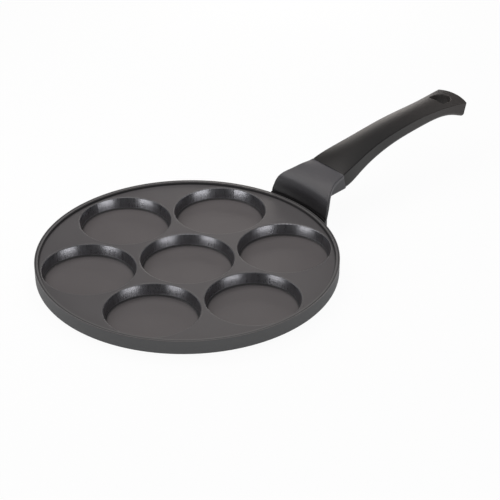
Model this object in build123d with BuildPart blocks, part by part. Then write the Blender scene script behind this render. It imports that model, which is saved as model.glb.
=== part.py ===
"""Seven-well mini pancake pan with a screwed-on neck and a moulded grip.

Millimetres. The origin is the centre of the base, +Z is up and the handle runs along +X.
"""

import os
from math import atan2, degrees, radians, sqrt, tan

from build123d import *

os.makedirs("parts", exist_ok=True)

# Pan body: a cast disc with a low rim
pan_diameter = 265.0
pan_height = 17.1
skirt_run = 7.3
skirt_lift = 4.4
wall_lean = 0.2
rim_width = 3.1
rim_rise = 2.4
rim_outer_rounding = 1.3
rim_inner_rounding = 0.7
rim_foot_rounding = 0.6
skirt_rounding = 1.6
base_rounding = 1.0

# Wells: one in the middle and a ring round it, so three in a row from rim to rim
ring_well_count = 6
row_well_count = 3
well_gap = 2.1
well_rim_margin = 1.3
well_wall_run = 2.3
well_depth = 11.3
well_edge_rounding = 1.1
well_floor_rounding = 1.6

# Neck: a curved strap that rises from the pan's wall, with a box section behind its top
foot_width = 72.0
foot_lip_drop = 1.0
foot_lip_width = 0.8
foot_groove_width = 2.7
foot_groove_depth = 4.1
foot_lift = 4.4
foot_middle_thickness = 5.0
foot_end_thickness = 1.8
strap_thickness = 3.6
strap_edge_rounding = 0.8
neck_length = 36.2
neck_rise = 26.9
neck_end_width = 41.9
neck_end_crown = 0.6
neck_end_depth = 16.8
handle_slope = 13.5
box_side_inset = 0.4
box_underside_height = 25.1
box_corner_rounding = 2.6
gusset_run = 8.0
gusset_drop = 8.0
gusset_rounding = 5.0
box_first_section = 2
box_last_section = 6

# Shares of the neck's length, rise, widening and hollow at each section, from foot to seam
neck_section_shares = (
    (0.000, 0.000, 1.000, 1.00, 0.0),
    (0.036, 0.220, 0.970, 0.88, 0.4),
    (0.090, 0.430, 0.890, 0.72, 0.8),
    (0.150, 0.572, 0.800, 0.54, 1.0),
    (0.255, 0.700, 0.650, 0.32, 1.0),
    (0.500, 0.860, 0.310, 0.10, 1.0),
    (0.760, 0.950, 0.120, 0.03, 1.0),
    (1.000, 1.000, 0.000, 0.00, 1.0),
    (1.140, 1.036, -0.030, 0.00, 1.0),
)

# Tenon that the grip slides over
tenon_width = 26.0
tenon_thickness = 7.0
tenon_length = 32.0
tenon_drop = 2.6
tenon_end_chamfer = 0.8

# Grip
grip_length = 166.2
grip_rise = 17.8
grip_start_step = 0.3
grip_seam_width = 41.2
grip_waist_width = 25.8
grip_seam_depth = 17.2
grip_waist_depth = 11.9
grip_seam_crown = 1.5
grip_crown = 2.7
grip_side_draft = 1.6
grip_crease_rounding = 0.9
grip_belly_rounding = 4.6
grip_last_slope = -4.0
grip_end_radius = 63.0
grip_end_sweep = 45.0
grip_end_lean = 9.0
grip_end_belly_rounding = 5.0
grip_end_rounding = 0.8

# Shares of the grip's length, rise, widening, deepening and crown at each section
grip_section_shares = (
    (0.000, 0.000, 1.000, 1.000, 0.0),
    (0.050, 0.148, 0.925, 1.230, 0.5),
    (0.118, 0.309, 0.740, 1.040, 1.0),
    (0.304, 0.674, 0.247, 0.560, 1.0),
    (0.511, 0.927, 0.065, 0.250, 1.0),
    (0.700, 1.000, 0.013, -0.020, 1.0),
    (0.885, 0.978, 0.400, -0.080, 0.9),
    (0.950, 0.946, 0.630, 0.440, 0.6),
    (1.030, 0.893, 0.930, 0.740, 0.3),
)

# Hanging hole: straight towards the pan, round towards the tip
hole_width = 17.8
hole_length = 16.2
hole_tip_margin = 10.6
hole_corner_rounding = 2.6
hole_edge_rounding = 0.8

# Screws and washers
screw_diameter = 5.0
screw_head_diameter = 9.0
screw_head_height = 3.0
screw_head_rounding = 1.0
screw_end_chamfer = 0.5
recess_span = 5.2
recess_slot = 1.1
recess_depth = 1.8
washer_diameter = 9.2
washer_bore = 5.3
washer_thickness = 1.0
neck_screw_length = 14.0
neck_screw_spacing = 28.0
neck_screw_height = 9.1
neck_screw_seat = 6.4
neck_screw_thread_reserve = 2.0
grip_screw_length = 10.0
grip_screw_distance = 18.0
grip_screw_seat = 3.3

# Clearances
wall_clearance = 0.2
thread_clearance = 0.1
screw_clearance = 0.3
counterbore_clearance = 1.0
tenon_clearance = 0.2
tenon_end_clearance = 1.0
cut_overrun = 5.0

# Derived sizes
pan_radius = pan_diameter / 2
skirt_radius = pan_radius - wall_lean
base_radius = skirt_radius - skirt_run
rim_inner_radius = pan_radius - rim_width
plate_height = pan_height - rim_rise
well_opening_radius = (rim_inner_radius - well_rim_margin - well_gap) / row_well_count
well_pitch_radius = 2 * well_opening_radius + well_gap
well_floor_radius = well_opening_radius - well_wall_run
well_top_radius = well_opening_radius - well_edge_rounding
well_taper = degrees(atan2(well_top_radius - well_floor_radius, well_depth))

foot_half_width = foot_width / 2
foot_top = pan_height - foot_lip_drop
lip_radius = pan_radius + foot_groove_width
face_radius = lip_radius + foot_lip_width
pad_radius = pan_radius + wall_clearance
pad_top = foot_top - foot_groove_depth
face_side_x = sqrt(face_radius**2 - foot_half_width**2)
foot_hollow = face_radius - face_side_x
seam_x = face_side_x + neck_length
seam_height = foot_top + neck_rise
foot_rear_x = face_radius + foot_middle_thickness
neck_seat_x = pan_radius + neck_screw_seat

handle_axis = Vector(1, 0, 0).rotate(Axis.Y, -handle_slope)
seam_plane = Plane(origin=(seam_x, 0, seam_height), x_dir=(0, 1, 0), z_dir=handle_axis)
tenon_middle = -tenon_drop - tenon_thickness / 2
screw_plane = Plane(
    origin=seam_plane.from_local_coords((0, tenon_middle, grip_screw_distance)),
    x_dir=(0, 1, 0),
    z_dir=seam_plane.y_dir,
)
grip_seat_drop = tenon_thickness / 2 + tenon_clearance + grip_screw_seat


def section_planes(points, first_slope, last_slope):
    """A plane across the line of points at each of them, with +Y of the object as its x."""
    planes = []
    for index, (x, z) in enumerate(points):
        before = points[max(index - 1, 0)]
        after = points[min(index + 1, len(points) - 1)]
        slope = degrees(atan2(after[1] - before[1], after[0] - before[0]))
        if index == 0:
            slope = first_slope
        if index == len(points) - 1:
            slope = last_slope
        along = Vector(1, 0, 0).rotate(Axis.Y, -slope)
        planes.append(Plane(origin=(x, 0, z), x_dir=(0, 1, 0), z_dir=along))
    return planes


def face_side(radius):
    """How far out a curve of this radius about the pan's axis is at the foot's two ends."""
    return sqrt(radius**2 - foot_half_width**2)


def foot_outline(front_radius):
    """The foot seen from above: it hugs a circle in front and is thin at its two ends."""
    front_x = face_side(front_radius)
    rear_x = face_side_x + foot_end_thickness
    ThreePointArc((front_x, -foot_half_width), (front_radius, 0), (front_x, foot_half_width))
    Line((front_x, foot_half_width), (rear_x, foot_half_width))
    ThreePointArc((rear_x, foot_half_width), (foot_rear_x, 0), (rear_x, -foot_half_width))
    Line((rear_x, -foot_half_width), (front_x, -foot_half_width))


# Pan body
with BuildPart() as pan_body:
    with BuildSketch(Plane.XZ) as body_profile:
        with BuildLine():
            Polyline(
                (0, 0),
                (base_radius, 0),
                (skirt_radius, skirt_lift),
                (pan_radius, pan_height),
                (rim_inner_radius, pan_height),
                (rim_inner_radius, plate_height),
                (0, plate_height),
                close=True,
            )
        make_face()
        base_corner = body_profile.vertices().group_by(Axis.Y)[0].sort_by(Axis.X)[-1]
        skirt_corner = body_profile.vertices().group_by(Axis.Y)[1].sort_by(Axis.X)[-1]
        rim_foot = body_profile.vertices().group_by(Axis.Y)[2].sort_by(Axis.X)[-1]
        rim_corners = body_profile.vertices().group_by(Axis.Y)[-1].sort_by(Axis.X)
        fillet(base_corner, base_rounding)
        fillet(skirt_corner, skirt_rounding)
        fillet(rim_foot, rim_foot_rounding)
        fillet(rim_corners[0], rim_inner_rounding)
        fillet(rim_corners[-1], rim_outer_rounding)
    revolve(axis=Axis.Z)

    with BuildSketch(Plane.XY.offset(plate_height)):
        Circle(well_top_radius)
        with PolarLocations(well_pitch_radius, ring_well_count, start_angle=180 / ring_well_count):
            Circle(well_top_radius)
    extrude(amount=-well_depth, taper=well_taper, mode=Mode.SUBTRACT)
    well_edges = pan_body.edges(Select.LAST).filter_by(GeomType.CIRCLE).group_by(Axis.Z)
    fillet(well_edges[0], well_floor_rounding)
    opening_edges = pan_body.edges().filter_by(GeomType.CIRCLE)
    opening_edges = opening_edges.filter_by(lambda edge: edge.radius < well_pitch_radius)
    fillet(opening_edges.group_by(Axis.Z)[-1], well_edge_rounding)

    thread_depth = neck_screw_length - neck_screw_seat - washer_thickness + neck_screw_thread_reserve
    with BuildSketch(Plane.YZ.offset(pan_radius - thread_depth)):
        with Locations((0, neck_screw_height)):
            with GridLocations(neck_screw_spacing, 0, 2, 1):
                Circle(screw_diameter / 2 + thread_clearance)
    extrude(amount=thread_depth + cut_overrun, mode=Mode.SUBTRACT)

pan_body.part.label = "pan_body"

# Neck
neck_points = []
for run_share, rise_share, *_ in neck_section_shares:
    neck_points.append((face_side_x + neck_length * run_share, foot_top + neck_rise * rise_share))
neck_planes = section_planes(neck_points, first_slope=90, last_slope=handle_slope)

with BuildPart() as handle_neck:
    # Box behind the strap, which carries the tenon
    end_foot = seam_plane.from_local_coords((0, -neck_end_depth, cut_overrun / 2))
    end_head = seam_plane.from_local_coords((0, -strap_thickness / 2, cut_overrun / 2))
    heel = seam_plane.from_local_coords((0, -neck_end_depth, 0))
    knee_x = face_radius + foot_middle_thickness + gusset_run
    with BuildSketch(Plane.XZ) as box_profile:
        with BuildLine():
            spine = [(end_head.X, end_head.Z)]
            for index in range(box_last_section, box_first_section - 1, -1):
                hollow = foot_hollow * neck_section_shares[index][3]
                inside = neck_planes[index].from_local_coords((0, -hollow - strap_thickness / 2, 0))
                spine.append((inside.X, inside.Z))
            Polyline(
                *spine,
                (foot_rear_x - strap_thickness / 2, box_underside_height - gusset_drop),
                (knee_x, box_underside_height),
                (heel.X, heel.Z),
                (end_foot.X, end_foot.Z),
                close=True,
            )
        make_face()
        knee = box_profile.vertices().sort_by_distance((knee_x, box_underside_height))[0]
        fillet(knee, gusset_rounding)
    extrude(amount=neck_end_width / 2 - box_side_inset, both=True)
    flat_faces = handle_neck.faces().filter_by(GeomType.PLANE)
    underside = flat_faces.sort_by_distance((knee_x, 0, box_underside_height))[0]
    fillet(underside.edges().filter_by(Axis.Y, reverse=True), box_corner_rounding)

    # Strap
    for plane, shares in zip(neck_planes, neck_section_shares):
        widening = shares[2]
        hollow = foot_hollow * shares[3] - neck_end_crown * (1 - shares[3])
        half = neck_end_width / 2 + (foot_width - neck_end_width) / 2 * widening
        end = foot_end_thickness + (strap_thickness - foot_end_thickness) * shares[4]
        middle = foot_middle_thickness + (strap_thickness - foot_middle_thickness) * shares[4]
        with BuildSketch(plane) as strap_section:
            with BuildLine():
                ThreePointArc((-half, 0), (0, -hollow), (half, 0))
                Line((half, 0), (half, -end))
                ThreePointArc((half, -end), (0, -hollow - middle), (-half, -end))
                Line((-half, -end), (-half, 0))
            make_face()
            fillet(strap_section.vertices(), strap_edge_rounding)
    loft()
    split(bisect_by=seam_plane, keep=Keep.BOTTOM)

    # Foot, which hugs the wall below the rim
    with BuildSketch(Plane.XY.offset(foot_lift)):
        with BuildLine():
            foot_outline(pad_radius)
        make_face()
    extrude(amount=pad_top - foot_lift)
    with BuildSketch(Plane.XY.offset(foot_lift)):
        with BuildLine():
            foot_outline(lip_radius)
        make_face()
    extrude(amount=foot_top - foot_lift)

    # Tenon
    with BuildSketch(seam_plane):
        with Locations((0, tenon_middle)):
            Rectangle(tenon_width, tenon_thickness)
    extrude(amount=tenon_length)
    chamfer(handle_neck.faces().sort_by(Axis.X)[-1].edges(), tenon_end_chamfer)

    # Threaded hole through the tenon
    with BuildSketch(screw_plane):
        Circle(screw_diameter / 2 + thread_clearance)
    extrude(amount=tenon_thickness, both=True, mode=Mode.SUBTRACT)

    # Flat seats and through holes for the two neck screws
    with BuildSketch(Plane.YZ.offset(neck_seat_x)):
        with Locations((0, neck_screw_height)):
            with GridLocations(neck_screw_spacing, 0, 2, 1):
                Circle(screw_head_diameter / 2 + counterbore_clearance)
    extrude(amount=foot_middle_thickness + cut_overrun, mode=Mode.SUBTRACT)
    with BuildSketch(Plane.YZ.offset(neck_seat_x)):
        with Locations((0, neck_screw_height)):
            with GridLocations(neck_screw_spacing, 0, 2, 1):
                Circle(screw_diameter / 2 + screw_clearance)
    extrude(amount=-neck_screw_seat - cut_overrun, mode=Mode.SUBTRACT)

handle_neck.part.label = "handle_neck"

# Grip
grip_start = seam_plane.from_local_coords((0, -grip_start_step, 0))
grip_points = []
for run_share, rise_share, *_ in grip_section_shares:
    grip_points.append((grip_start.X + grip_length * run_share, grip_start.Z + grip_rise * rise_share))
grip_planes = section_planes(grip_points, first_slope=handle_slope, last_slope=grip_last_slope)

with BuildPart() as grip:
    for plane, shares in zip(grip_planes, grip_section_shares):
        half = grip_waist_width / 2 + (grip_seam_width - grip_waist_width) / 2 * shares[2]
        depth = grip_waist_depth + (grip_seam_depth - grip_waist_depth) * shares[3]
        crown = grip_seam_crown + (grip_crown - grip_seam_crown) * shares[4]
        lower_half = half - grip_side_draft
        with BuildSketch(plane) as grip_section:
            with BuildLine():
                ThreePointArc((-half, 0), (0, crown), (half, 0))
                Polyline((half, 0), (lower_half, -depth), (-lower_half, -depth), (-half, 0))
            make_face()
            fillet(grip_section.vertices().group_by(Axis.Y)[0], grip_belly_rounding)
            fillet(grip_section.vertices().group_by(Axis.Y)[-1], grip_crease_rounding)
    loft()

    # Rounded end, which leans in towards the underside
    end_centre_x = seam_x + grip_length - grip_end_radius
    end_start = Vector(1, 0, 0).rotate(Axis.Z, -grip_end_sweep)
    end_side = Vector(0, -1, 0).rotate(Axis.Z, -grip_end_sweep)
    end_plane = Plane(origin=(end_centre_x, 0, 0), x_dir=end_start, z_dir=end_side)
    grip_top = grip_start.Z + grip_rise
    end_top = grip_top + grip_crown
    end_bottom = grip_planes[-1].from_local_coords((0, -depth, 0)).Z
    lean_back = (end_top - end_bottom) * tan(radians(grip_end_lean))
    end_reach = 2 * grip_end_radius
    with BuildSketch(end_plane) as end_profile:
        with BuildLine():
            Polyline(
                (grip_end_radius, end_top),
                (grip_end_radius - lean_back, end_bottom),
                (grip_end_radius / 2, end_bottom),
                (grip_end_radius / 2, end_bottom - cut_overrun),
                (end_reach, end_bottom - cut_overrun),
                (end_reach, end_top),
                close=True,
            )
        make_face()
        inner_corner = end_profile.vertices().group_by(Axis.Y)[1].sort_by(Axis.X)[-1]
        fillet(inner_corner, grip_end_belly_rounding)
    end_axis = Axis((end_centre_x, 0, 0), (0, 0, 1))
    revolve(axis=end_axis, revolution_arc=2 * grip_end_sweep, mode=Mode.SUBTRACT)

    end_rim = grip.edges(Select.LAST).group_by(Axis.Z)[-1]
    fillet(end_rim, grip_end_rounding)

    # Hanging hole
    hole_end_x = seam_x + grip_length - hole_tip_margin
    hole_radius = hole_width / 2
    with BuildSketch(Plane.XY.offset(end_top + cut_overrun)) as hole_outline:
        with BuildLine():
            ThreePointArc(
                (hole_end_x - hole_radius, -hole_radius),
                (hole_end_x, 0),
                (hole_end_x - hole_radius, hole_radius),
            )
            Polyline(
                (hole_end_x - hole_radius, hole_radius),
                (hole_end_x - hole_length, hole_radius),
                (hole_end_x - hole_length, -hole_radius),
                (hole_end_x - hole_radius, -hole_radius),
            )
        make_face()
        fillet(hole_outline.vertices().group_by(Axis.X)[0], hole_corner_rounding)
    extrude(amount=-(end_top - end_bottom) - 2 * cut_overrun, mode=Mode.SUBTRACT)
    hole_edges = grip.edges(Select.LAST)
    fillet(hole_edges.filter_by_position(Axis.Z, grip_top, end_top), hole_edge_rounding)

    # Socket for the tenon
    with BuildSketch(seam_plane.offset(-cut_overrun)):
        with Locations((0, tenon_middle)):
            Rectangle(tenon_width + 2 * tenon_clearance, tenon_thickness + 2 * tenon_clearance)
    extrude(amount=tenon_length + tenon_end_clearance + cut_overrun, mode=Mode.SUBTRACT)

    # Passage and recess for the screw from below
    with BuildSketch(screw_plane):
        Circle(screw_diameter / 2 + screw_clearance)
    extrude(amount=-grip_seat_drop - cut_overrun, mode=Mode.SUBTRACT)
    with BuildSketch(screw_plane.offset(-grip_seat_drop)):
        Circle(screw_head_diameter / 2 + counterbore_clearance)
    extrude(amount=-grip_seam_depth, mode=Mode.SUBTRACT)

grip.part.label = "grip"


def pan_head_screw(seat, length):
    """A pan-head screw at the origin of the plane seat, which its z leaves towards the head."""
    with BuildPart() as screw:
        with BuildSketch(seat):
            Circle(screw_head_diameter / 2)
        extrude(amount=screw_head_height)
        head_top = screw.faces().sort_by(Axis(seat.origin, seat.z_dir))[-1]
        fillet(head_top.edges(), screw_head_rounding)
        with BuildSketch(seat.offset(screw_head_height)):
            Rectangle(recess_span, recess_slot)
            Rectangle(recess_slot, recess_span)
        extrude(amount=-recess_depth, mode=Mode.SUBTRACT)
        with BuildSketch(seat):
            Circle(screw_diameter / 2)
        extrude(amount=-length)
        shank_end = screw.faces().sort_by(Axis(seat.origin, seat.z_dir))[0]
        chamfer(shank_end.edges(), screw_end_chamfer)
    return screw.part


def flat_washer(seat):
    """A flat washer that lies on the origin of the plane seat."""
    with BuildPart() as washer:
        with BuildSketch(seat):
            Circle(washer_diameter / 2)
            Circle(washer_bore / 2, mode=Mode.SUBTRACT)
        extrude(amount=washer_thickness)
    return washer.part


# Screws and washers
neck_seats = []
for side in (-1, 1):
    seat_origin = (neck_seat_x, side * neck_screw_spacing / 2, neck_screw_height)
    neck_seats.append(Plane(origin=seat_origin, x_dir=(0, 1, 0), z_dir=(1, 0, 0)))
grip_seat = Plane(
    origin=screw_plane.from_local_coords((0, 0, -grip_seat_drop)),
    x_dir=(0, 1, 0),
    z_dir=-screw_plane.z_dir,
)

with BuildPart() as neck_screws:
    for seat in neck_seats:
        add(pan_head_screw(seat.offset(washer_thickness), neck_screw_length))
neck_screws.part.label = "neck_screws"

with BuildPart() as neck_washers:
    for seat in neck_seats:
        add(flat_washer(seat))
neck_washers.part.label = "neck_washers"

with BuildPart() as grip_screw:
    add(pan_head_screw(grip_seat.offset(washer_thickness), grip_screw_length))
grip_screw.part.label = "grip_screw"

with BuildPart() as grip_washer:
    add(flat_washer(grip_seat))
grip_washer.part.label = "grip_washer"

export_step(pan_body.part, "parts/pan_body.step")
export_step(handle_neck.part, "parts/handle_neck.step")
export_step(neck_screws.part, "parts/neck_screws.step")
export_step(neck_washers.part, "parts/neck_washers.step")
export_step(grip.part, "parts/grip.step")
export_step(grip_screw.part, "parts/grip_screw.step")
export_step(grip_washer.part, "parts/grip_washer.step")
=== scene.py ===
# %% [markdown]
# # A mini pancake pan with seven wells
#
# The pan is a dark coated casting with a coated neck and a black moulded grip. Its true shape comes from
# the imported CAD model, which this lesson never moves or reshapes. What is added here is how it looks:
# the satin of the non-stick coating, the turned walls of the wells, the fine grain of the grip, and the
# plain studio round them. Every length is in metres.

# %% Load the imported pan
import math

import bpy
from mathutils import Matrix, Vector

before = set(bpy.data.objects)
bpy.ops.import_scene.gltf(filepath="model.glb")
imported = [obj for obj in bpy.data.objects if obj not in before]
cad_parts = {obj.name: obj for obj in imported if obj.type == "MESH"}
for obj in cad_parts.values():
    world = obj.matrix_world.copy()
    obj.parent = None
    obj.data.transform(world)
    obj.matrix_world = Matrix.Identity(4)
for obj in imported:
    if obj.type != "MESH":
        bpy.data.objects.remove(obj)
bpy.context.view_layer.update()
print("pieces:", sorted(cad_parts))

# %% [markdown]
# ## The camera
#
# A photograph of a round pan gives its camera away: the rim and the wells are circles, so each ellipse
# in the picture says how steeply it is seen. A least-squares fit over all of those ellipses gave the
# direction, the distance and the lens below. The camera could also be set by eye, but then the wells
# would never quite fall into place. The lens is long, which keeps the far wells nearly as large as the
# near ones. It and the sensor are in millimetres, as Blender asks. view_right, view_up and view_lift say
# how far the middle of the picture lies from the middle of the pan's base.

# %% Place the camera
view_azimuth = math.radians(-131.529)
view_elevation = math.radians(31.607)
view_roll = math.radians(-0.134)
view_distance = 1.7771
view_right = 0.05445
view_up = 0.01605
view_lift = 0.004
sensor_width = 36
focal_length = 146.78

towards_camera = Vector((
    math.cos(view_elevation) * math.cos(view_azimuth),
    math.cos(view_elevation) * math.sin(view_azimuth),
    math.sin(view_elevation),
))
level_right = Vector((-math.sin(view_azimuth), math.cos(view_azimuth), 0))
level_up = towards_camera.cross(level_right)
right = level_right * math.cos(view_roll) + level_up * math.sin(view_roll)
up = level_up * math.cos(view_roll) - level_right * math.sin(view_roll)

camera_data = bpy.data.cameras.new("camera")
camera_data.sensor_width = sensor_width
camera_data.lens = focal_length
camera_data.clip_start = 0.05
camera_data.clip_end = 50
camera = bpy.data.objects.new("camera", camera_data)
bpy.context.scene.collection.objects.link(camera)
place = right * view_right + up * view_up + towards_camera * view_distance + Vector((0, 0, view_lift))
turn = Matrix((right, up, towards_camera)).transposed().to_4x4()
camera.matrix_world = Matrix.Translation(place) @ turn
bpy.context.scene.camera = camera
bpy.context.scene.view_settings.view_transform = "Standard"
print("camera at", [round(value, 3) for value in place], "with a lens of", focal_length, "mm")

# %% [markdown]
# ## Sums on sockets
#
# A finish is a network of small nodes, and long chains of Math nodes are hard to read. The class below
# wraps one output socket, so that an ordinary sum such as `1 - mask * 0.5` adds the Math nodes by
# itself. Any other node comes from one method of the finish, which first sets the node's own settings
# and then joins or fills its sockets.

# %% A socket that can be used in a sum
class Wire:
    """One output socket of a finish, which can stand in a sum."""

    def __init__(self, finish, socket):
        self.finish = finish
        self.socket = socket

    def other(self, name):
        """Another output of the same node."""
        return Wire(self.finish, self.socket.node.outputs[name])

    def sum_with(self, operation, first, second):
        return self.finish.node("ShaderNodeMath", {"operation": operation}, {0: first, 1: second})

    def __add__(self, other):
        return self.sum_with("ADD", self, other)

    def __radd__(self, other):
        return self.sum_with("ADD", other, self)

    def __sub__(self, other):
        return self.sum_with("SUBTRACT", self, other)

    def __rsub__(self, other):
        return self.sum_with("SUBTRACT", other, self)

    def __mul__(self, other):
        return self.sum_with("MULTIPLY", self, other)

    def __rmul__(self, other):
        return self.sum_with("MULTIPLY", other, self)

    def __gt__(self, other):
        return self.sum_with("GREATER_THAN", self, other)

    def __lt__(self, other):
        return self.sum_with("LESS_THAN", self, other)


# %% A finish under construction
class Finish:
    """The node tree of a material or of the sky, with one method that adds any node."""

    def __init__(self, owner, ending="ShaderNodeOutputMaterial"):
        owner.use_nodes = True
        self.owner = owner
        self.tree = owner.node_tree
        self.tree.nodes.clear()
        self.ending = ending

    def node(self, kind, settings=None, sockets=None, output=0):
        """Adds one node: its settings first, then its sockets, by number or by name."""
        made = self.tree.nodes.new(kind)
        for key, value in (settings or {}).items():
            setattr(made, key, value)
        for key, value in (sockets or {}).items():
            if isinstance(value, Wire):
                self.tree.links.new(value.socket, made.inputs[key])
            else:
                made.inputs[key].default_value = value
        return Wire(self, made.outputs[output]) if len(made.outputs) else None

    def show(self, surface):
        """Sends a shader to the surface, and hands back the material or sky."""
        self.node(self.ending, {}, {"Surface": surface})
        print(f"{self.owner.name}: {len(self.tree.nodes)} nodes")
        return self.owner


# %% Helpers that every finish uses
def new_finish(name):
    """An empty finish for one of the pan's materials."""
    return Finish(bpy.data.materials.new(name))


def calculate(finish, operation, *values):
    """One Math node, for what has no sign of its own, such as a root or an angle."""
    return finish.node("ShaderNodeMath", {"operation": operation}, dict(enumerate(values)))


def colours(finish, share, first, second):
    """The first colour where share is 0 and the second where it is 1."""
    return finish.node("ShaderNodeMix", {"data_type": "RGBA"}, {0: share, 6: first, 7: second}, output=2)


def slope(finish, value, low, high):
    """0 below low, 1 above high and an easy slope between them."""
    settings = {"interpolation_type": "SMOOTHSTEP"}
    return finish.node("ShaderNodeMapRange", settings, {0: value, 1: low, 2: high})


def band(finish, value, rise_start, rise_end, fall_start, fall_end):
    """1 between a rise and a fall, and 0 outside them."""
    return slope(finish, value, rise_start, rise_end) * (1 - slope(finish, value, fall_start, fall_end))


def noise(finish, place, scale, detail=2.0):
    """A cloudy noise about 0.5, whose patches get smaller as the scale goes up."""
    return finish.node("ShaderNodeTexNoise", {}, {"Vector": place, "Scale": scale, "Detail": detail})


def object_place(finish):
    """Each point's own place in the pan's frame."""
    return finish.node("ShaderNodeTexCoord", output="Object")


# %% [markdown]
# ## Where the wells are
#
# The body is one casting with one coating, but its surfaces don't look alike, because they were machined
# in different ways before they were coated, and because painted shade and painted highlights lie on some
# of them. A finish could be split over several material slots, but the CAD mesh is one piece and stays as
# it is. So the finish works out for each point how far it lies from the axis of its nearest well, and how
# high it is. The six outer wells repeat every sixty degrees, so one fold of the angle serves them all.

# %% Distance from the nearest well's axis
mm = 0.001
well_pitch = 0.0861
well_floor_radius = 0.0397
well_mouth_radius = 0.0420
well_floor_height = 0.0034
plate_height = 0.0147
rim_inner_radius = 0.1294
sector = math.radians(60)

body = new_finish("satin_coating")
body_place = object_place(body)
x = body.node("ShaderNodeSeparateXYZ", {}, {0: body_place})
y = x.other("Y")
z = x.other("Z")
from_centre = calculate(body, "SQRT", x * x + y * y)
folded = calculate(body, "WRAP", calculate(body, "ARCTAN2", y, x), 0, sector) - sector / 2
along = from_centre * calculate(body, "COSINE", folded) - well_pitch
across = from_centre * calculate(body, "SINE", folded)
from_well = calculate(body, "MINIMUM", from_centre, calculate(body, "SQRT", along * along + across * across))
print("wells: one in the middle and six at", round(well_pitch / mm, 1), "mm from it")

# %% [markdown]
# ## Turned walls, painted shade at the feet and painted highlights on the edges
#
# Seven masks come out of that distance and height. The wall of each well was turned on a lathe, so its
# fine grooves run round it and stretch every light into an upright patch. The foot of the wall and the
# outermost few millimetres of the floor are painted darker, as painted shade for that corner.
# The rounded edge at the mouth gets a painted highlight, a lighter tone, and a lower roughness. At the rim,
# painted shade darkens the crease against the plate, a painted highlight lightens the rim's top, and a
# painted dark line of shade lies outside it, and the outer wall is duller than the plate. Every mask could
# be painted by hand, but then it would belong to one picture, while a mask made of lengths fits the pan
# itself.

# %% Masks of the wells
foot_top = well_floor_height + 1.8 * mm
mouth_end = well_mouth_radius + 0.4 * mm
wall = band(
    body, z, well_floor_height + 0.6 * mm, foot_top, plate_height - 0.8 * mm, plate_height - 0.1 * mm
)
wall = wall * band(
    body, from_well, well_floor_radius - 0.9 * mm, well_floor_radius - 0.6 * mm, well_mouth_radius, mouth_end
)
# painted shade: darkens the foot of each wall and the outer edge of its floor, where that corner is shaded
painted_foot_shade = band(
    body, from_well, well_floor_radius - 2.5 * mm, well_floor_radius - 0.5 * mm, well_mouth_radius, mouth_end
)
painted_foot_shade = painted_foot_shade * (1 - slope(body, z, foot_top, foot_top + 1.0 * mm))
# painted highlight: a lighter tone on each mouth's rounded edge, which is also smoother
mouth_gloss_and_highlight = band(
    body, from_well, well_mouth_radius - 1.0 * mm, well_mouth_radius - 0.6 * mm,
    well_mouth_radius - 0.1 * mm, well_mouth_radius + 0.6 * mm,
)
mouth_gloss_and_highlight = mouth_gloss_and_highlight * slope(body, z, plate_height - 1.1 * mm, plate_height - 0.5 * mm)
on_floor = z < well_floor_height + 1.6 * mm
print("well walls: from", round(foot_top / mm, 1), "to", round(plate_height / mm, 1), "mm high")

# %% Masks of the rim and the outer wall
# painted shade: a dark line in the crease where the rim meets the plate
painted_crease_shade = band(
    body, from_centre, rim_inner_radius - 2.0 * mm, rim_inner_radius - 0.6 * mm,
    rim_inner_radius, rim_inner_radius + 0.4 * mm,
)
painted_crease_shade = painted_crease_shade * (1 - slope(body, z, plate_height + 0.6 * mm, plate_height + 1.4 * mm))
# painted highlight: a lighter tone on the rim's top
painted_rim_highlight = slope(body, z, plate_height + 1.6 * mm, plate_height + 2.1 * mm)
# painted shade: a dark line on the rim's outer rounding
painted_rim_edge_shade = band(
    body, from_centre, rim_inner_radius + 1.2 * mm, rim_inner_radius + 1.8 * mm,
    rim_inner_radius + 2.2 * mm, rim_inner_radius + 2.8 * mm,
)
painted_rim_edge_shade = painted_rim_edge_shade * slope(body, z, plate_height + 0.3 * mm, plate_height + 0.9 * mm)
outer_wall = (from_centre > rim_inner_radius + 2.4 * mm) * (z < plate_height + 1.3 * mm)
print("rim: starts", round(rim_inner_radius / mm, 1), "mm from the middle")

# %% [markdown]
# ## The coating
#
# A satin non-stick coating is a dark grey paint with a fine orange peel, and its tone drifts a little
# from place to place. A flat grey would look like paper, and a picture of a coating would blur close up,
# so the drift, the peel and the grooves are all noises in the pan's own millimetres. The well floors are
# a little lighter and warmer than the plate. The walls are smoother, and a plain coating could not show
# patches as bright as theirs, so they reflect like dark metal. Their grooves tilt the shading normal up
# and down, and a second noise that is stretched upright varies their tone and gloss, which gives the
# bright patches their streaks.

# %% Noises of the coating
grooves_per_metre = 5200.0
upright_stretch = (1, 1, 0.06)

cloud = noise(body, body_place, scale=24.0, detail=3.0)
peel = noise(body, body_place, scale=900.0)
speck = noise(body, body_place, scale=3600.0, detail=1.0)
grooves = noise(body, z * grooves_per_metre, scale=1.0, detail=1.0)
upright = body.node("ShaderNodeVectorMath", {"operation": "MULTIPLY"}, {0: body_place, 1: upright_stretch})
streaks = noise(body, upright, scale=700.0)
print("coating: 5 noises,", len(body.tree.nodes), "nodes so far")

# %% Colour of the body
plate_tone = colours(body, cloud, (0.071, 0.067, 0.0695, 1), (0.086, 0.081, 0.084, 1))
floor_tone = colours(body, cloud, (0.094, 0.0865, 0.0885, 1), (0.113, 0.1035, 0.105, 1))
outer_tone = colours(body, cloud, (0.083, 0.0835, 0.0855, 1), (0.097, 0.0975, 0.0995, 1))
wall_tone = colours(body, streaks, (0.175, 0.174, 0.186, 1), (0.265, 0.264, 0.282, 1))
mouth_highlight_tone = (0.105, 0.102, 0.103, 1)
rim_highlight_tone = (0.125, 0.122, 0.123, 1)
painted_shade_tone = (0.014, 0.014, 0.015, 1)

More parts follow.
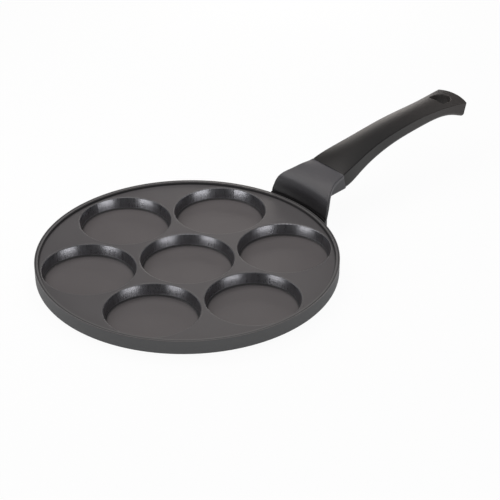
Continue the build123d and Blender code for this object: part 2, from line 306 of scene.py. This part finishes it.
# the foot, crease and rim-edge layers are painted shade, the mouth-edge and rim-top layers painted
# highlights
layers = (
    (on_floor, floor_tone),
    (outer_wall, outer_tone),
    (mouth_gloss_and_highlight * 0.5, mouth_highlight_tone),
    (painted_foot_shade * 0.9, painted_shade_tone),
    (painted_crease_shade * 0.8, painted_shade_tone),
    (painted_rim_highlight * 0.6, rim_highlight_tone),
    (painted_rim_edge_shade * 0.8, painted_shade_tone),
    (wall, wall_tone),
)
body_colour = plate_tone
for share, tone in layers:
    body_colour = colours(body, share, body_colour, tone)
print("colour:", len(layers), "layers over the plate's tone")

# %% Roughness of the body
plate_roughness = 0.48
edge_polish = 0.10
wall_polish = 0.19
outer_dullness = 0.14

drift = (cloud - 0.5) * 0.10 + (speck - 0.5) * 0.06
body_roughness = plate_roughness + drift - mouth_gloss_and_highlight * edge_polish + outer_wall * outer_dullness
body_roughness = body_roughness + wall * ((streaks - 0.5) * 0.12 - wall_polish)
wall_roughness = round(plate_roughness - wall_polish, 2)
print("roughness: about", plate_roughness, "on the plate and", wall_roughness, "on the walls")

# %% Relief of the body
wall_lean = 0.12
groove_tilt = 0.6

body_relief = body.node("ShaderNodeBump", {}, {
    "Strength": 0.25, "Distance": 0.04 * mm, "Height": peel * 0.7 + speck * 0.3,
})
lean = slope(body, z, well_floor_height, plate_height - 1.7 * mm) * wall_lean + wall_lean
tilt = body.node("ShaderNodeCombineXYZ", {}, {2: ((grooves - 0.5) * groove_tilt + lean) * wall})
body_normal = body.node("ShaderNodeVectorMath", {"operation": "ADD"}, {0: body_relief, 1: tilt})
body_normal = body.node("ShaderNodeVectorMath", {"operation": "NORMALIZE"}, {0: body_normal})
print("relief: the walls' normals lean up by", wall_lean, "to", wall_lean * 2)

# %% The body's material
body_material = body.show(body.node("ShaderNodeBsdfPrincipled", {}, {
    "Base Color": body_colour,
    "Roughness": body_roughness,
    "Metallic": wall,
    "Specular IOR Level": 0.24,
    "Normal": body_normal,
}))

# %% [markdown]
# ## The neck
#
# The neck is a curved strap with the same coating on a smoother casting, so it is a little glossier and
# its peel is finer. Its tone is a cool dark grey, and painted shade takes it to near black at the foot,
# against the rim. A metal shader would be too bright in its highlights, so it stays a coated, non-metal
# surface, and its two tones, the strap's and the painted shade, blend by height.

# %% Finish of the neck
foot_height = 18 * mm
strap_height = 46 * mm
neck = new_finish("satin_neck")
neck_place = object_place(neck)
cloud = noise(neck, neck_place, scale=40.0, detail=3.0)
peel = noise(neck, neck_place, scale=1100.0)
neck_height = neck.node("ShaderNodeSeparateXYZ", {}, {0: neck_place}, output=2)
# painted shade: the near-black tone at the neck's foot, blended in by height
neck_foot_shade_tone = colours(neck, cloud, (0.006, 0.0055, 0.0062, 1), (0.011, 0.010, 0.0115, 1))
strap_tone = colours(neck, cloud, (0.042, 0.0405, 0.0475, 1), (0.054, 0.052, 0.061, 1))
neck_colour = colours(neck, slope(neck, neck_height, foot_height, strap_height), neck_foot_shade_tone, strap_tone)
neck_relief = neck.node("ShaderNodeBump", {}, {"Strength": 0.3, "Distance": 0.04 * mm, "Height": peel})
neck_material = neck.show(neck.node("ShaderNodeBsdfPrincipled", {}, {
    "Base Color": neck_colour,
    "Roughness": 0.42 + (cloud - 0.5) * 0.10,
    "Specular IOR Level": 0.58,
    "Normal": neck_relief,
}))

# %% [markdown]
# ## The grip
#
# The grip is moulded from a black thermoset. Its mould was finely blasted, which leaves a grain of a few
# tenths of a millimetre and a soft sheen. Deep black plastic has almost no colour of its own, so the grain
# and the sheen do the work. From the middle on, the black is painted a little paler and browner towards
# the tip, as painted light.

# %% Finish of the grip
tip_light_from = 215 * mm
tip_light_to = 325 * mm
grip = new_finish("moulded_grip")
grip_place = object_place(grip)
cloud = noise(grip, grip_place, scale=30.0, detail=3.0)
grain = noise(grip, grip_place, scale=1500.0)
grip_length = grip.node("ShaderNodeSeparateXYZ", {}, {0: grip_place}, output=0)
black_tone = colours(grip, cloud, (0.0065, 0.0058, 0.0058, 1), (0.0098, 0.0090, 0.0090, 1))
# painted light: the paler, browner tone towards the tip
painted_tip_light_tone = colours(grip, cloud, (0.038, 0.034, 0.0328, 1), (0.051, 0.046, 0.044, 1))
grip_colour = colours(grip, slope(grip, grip_length, tip_light_from, tip_light_to), black_tone, painted_tip_light_tone)
grip_relief = grip.node("ShaderNodeBump", {}, {"Strength": 0.35, "Distance": 0.05 * mm, "Height": grain})
grip_material = grip.show(grip.node("ShaderNodeBsdfPrincipled", {}, {
    "Base Color": grip_colour,
    "Roughness": 0.42 + (cloud - 0.5) * 0.10,
    "Specular IOR Level": 0.28,
    "Normal": grip_relief,
}))

# %% [markdown]
# ## The screws and washers
#
# They are plain stainless steel, and only their heads show, behind the neck and under the grip. A bare
# metal is a metallic shader with no drawn highlights. A little smear in its gloss keeps it from looking
# like chrome.

# %% Finish of the steel
steel = new_finish("plain_steel")
smear = noise(steel, object_place(steel), scale=700.0, detail=3.0)
steel_colour = colours(steel, smear, (0.50, 0.50, 0.50, 1), (0.62, 0.62, 0.61, 1))
steel_relief = steel.node("ShaderNodeBump", {}, {"Strength": 0.2, "Distance": 0.03 * mm, "Height": smear})
steel_material = steel.show(steel.node("ShaderNodeBsdfPrincipled", {}, {
    "Base Color": steel_colour,
    "Metallic": 1.0,
    "Roughness": 0.26 + smear * 0.14,
    "Normal": steel_relief,
}))

# %% [markdown]
# ## Dressing the pieces
#
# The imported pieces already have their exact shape, so none of them is replaced. Each one only gets its
# finish in its material slot.

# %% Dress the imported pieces
finishes = {
    "pan_body": body_material,
    "handle_neck": neck_material,
    "grip": grip_material,
    "neck_screws": steel_material,
    "neck_washers": steel_material,
    "grip_screw": steel_material,
    "grip_washer": steel_material,
}
for name, material in finishes.items():
    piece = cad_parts[name]
    piece.data.materials.clear()
    piece.data.materials.append(material)
print("dressed:", len(finishes), "pieces")

# %% [markdown]
# ## The floor
#
# The pan stands on a plain white sweep. More light would make a floor white, but it would wash the dark
# coating out too. So the floor is white paint for the light that falls on it, and glows white only for
# the camera and for reflections. A twentieth of the paint still shows, which keeps the pan's soft shadow.

# %% Lay the floor
floor_reach = 14
glow_share = 0.95
floor_mesh = bpy.data.meshes.new("floor")
floor_signs = ((-1, -1), (1, -1), (1, 1), (-1, 1))
floor_corners = [(sign_x * floor_reach, sign_y * floor_reach, 0) for sign_x, sign_y in floor_signs]
floor_mesh.from_pydata(floor_corners, [], [(0, 1, 2, 3)])
floor = bpy.data.objects.new("floor", floor_mesh)
bpy.context.scene.collection.objects.link(floor)

sweep = new_finish("white_floor")
camera_ray = sweep.node("ShaderNodeLightPath", output="Is Camera Ray")
seen = camera_ray + camera_ray.other("Is Glossy Ray") + camera_ray.other("Is Transmission Ray")
paint = sweep.node("ShaderNodeBsdfDiffuse", {}, {"Color": (0.85, 0.85, 0.85, 1)})
glow = sweep.node("ShaderNodeEmission", {}, {"Color": (1, 1, 1, 1), "Strength": 1.0})
white = sweep.node("ShaderNodeMixShader", {}, {0: seen * glow_share, 1: paint, 2: glow})
floor_mesh.materials.append(sweep.show(white))

# %% [markdown]
# ## The studio
#
# The sky is dim low down and light overhead, like a dark room under a lit ceiling. The shape of a dark
# pan is drawn by what it reflects, so the lamps matter more than the sky: two wide, low soft boxes stand
# to the left and right in front, and each well wall shows both of them with a dark gap between. Small
# ones hang at the left side, at the back and overhead. The last two are slightly warm, because the floors
# of the far wells look a little warmer than the plate round them.

# %% Hang the sky
low_sky = 0.10
sky = Finish(bpy.data.worlds.new("studio"), "ShaderNodeOutputWorld")
sky_place = sky.node("ShaderNodeTexCoord", output="Generated")
way_up = sky.node("ShaderNodeSeparateXYZ", {}, {0: sky_place}, output=2)
bpy.context.scene.world = sky.show(sky.node("ShaderNodeBackground", {}, {
    "Color": (1, 1, 1, 1),
    "Strength": low_sky + slope(sky, way_up, 0.55, 1.0),
}))


# %% Place the lamps
def softbox(name, turn, lift, distance, size, watts, tint=(1, 1, 1)):
    """An area lamp that faces the pan: its turn from the camera and its lift from the floor in degrees."""
    lamp_data = bpy.data.lights.new(name, "AREA")
    lamp_data.shape = "RECTANGLE"
    lamp_data.size = size[0]
    lamp_data.size_y = size[1]
    lamp_data.energy = watts
    lamp_data.color = tint
    lamp = bpy.data.objects.new(name, lamp_data)
    bpy.context.scene.collection.objects.link(lamp)
    bearing = view_azimuth + math.radians(turn)
    slant = math.radians(lift)
    way = Vector((math.cos(slant) * math.cos(bearing), math.cos(slant) * math.sin(bearing), math.sin(slant)))
    lamp.location = way * distance
    lamp.rotation_mode = "QUATERNION"
    lamp.rotation_quaternion = way.to_track_quat("Z", "Y")
    print(f"{name}: {watts} W at {distance} m")


warm = (1.0, 0.94, 0.90)
softbox("right_softbox", turn=50, lift=13, distance=1.5, size=(0.95, 0.5), watts=5.4)
softbox("left_softbox", turn=-52, lift=13, distance=1.5, size=(0.9, 0.5), watts=5.3)
softbox("side_softbox", turn=-110, lift=48, distance=0.6, size=(0.3, 0.3), watts=0.75)
softbox("back_softbox", turn=172, lift=15, distance=0.7, size=(0.25, 0.25), watts=0.6, tint=warm)
softbox("top_softbox", turn=180, lift=66, distance=0.36, size=(0.2, 0.2), watts=0.30, tint=warm)
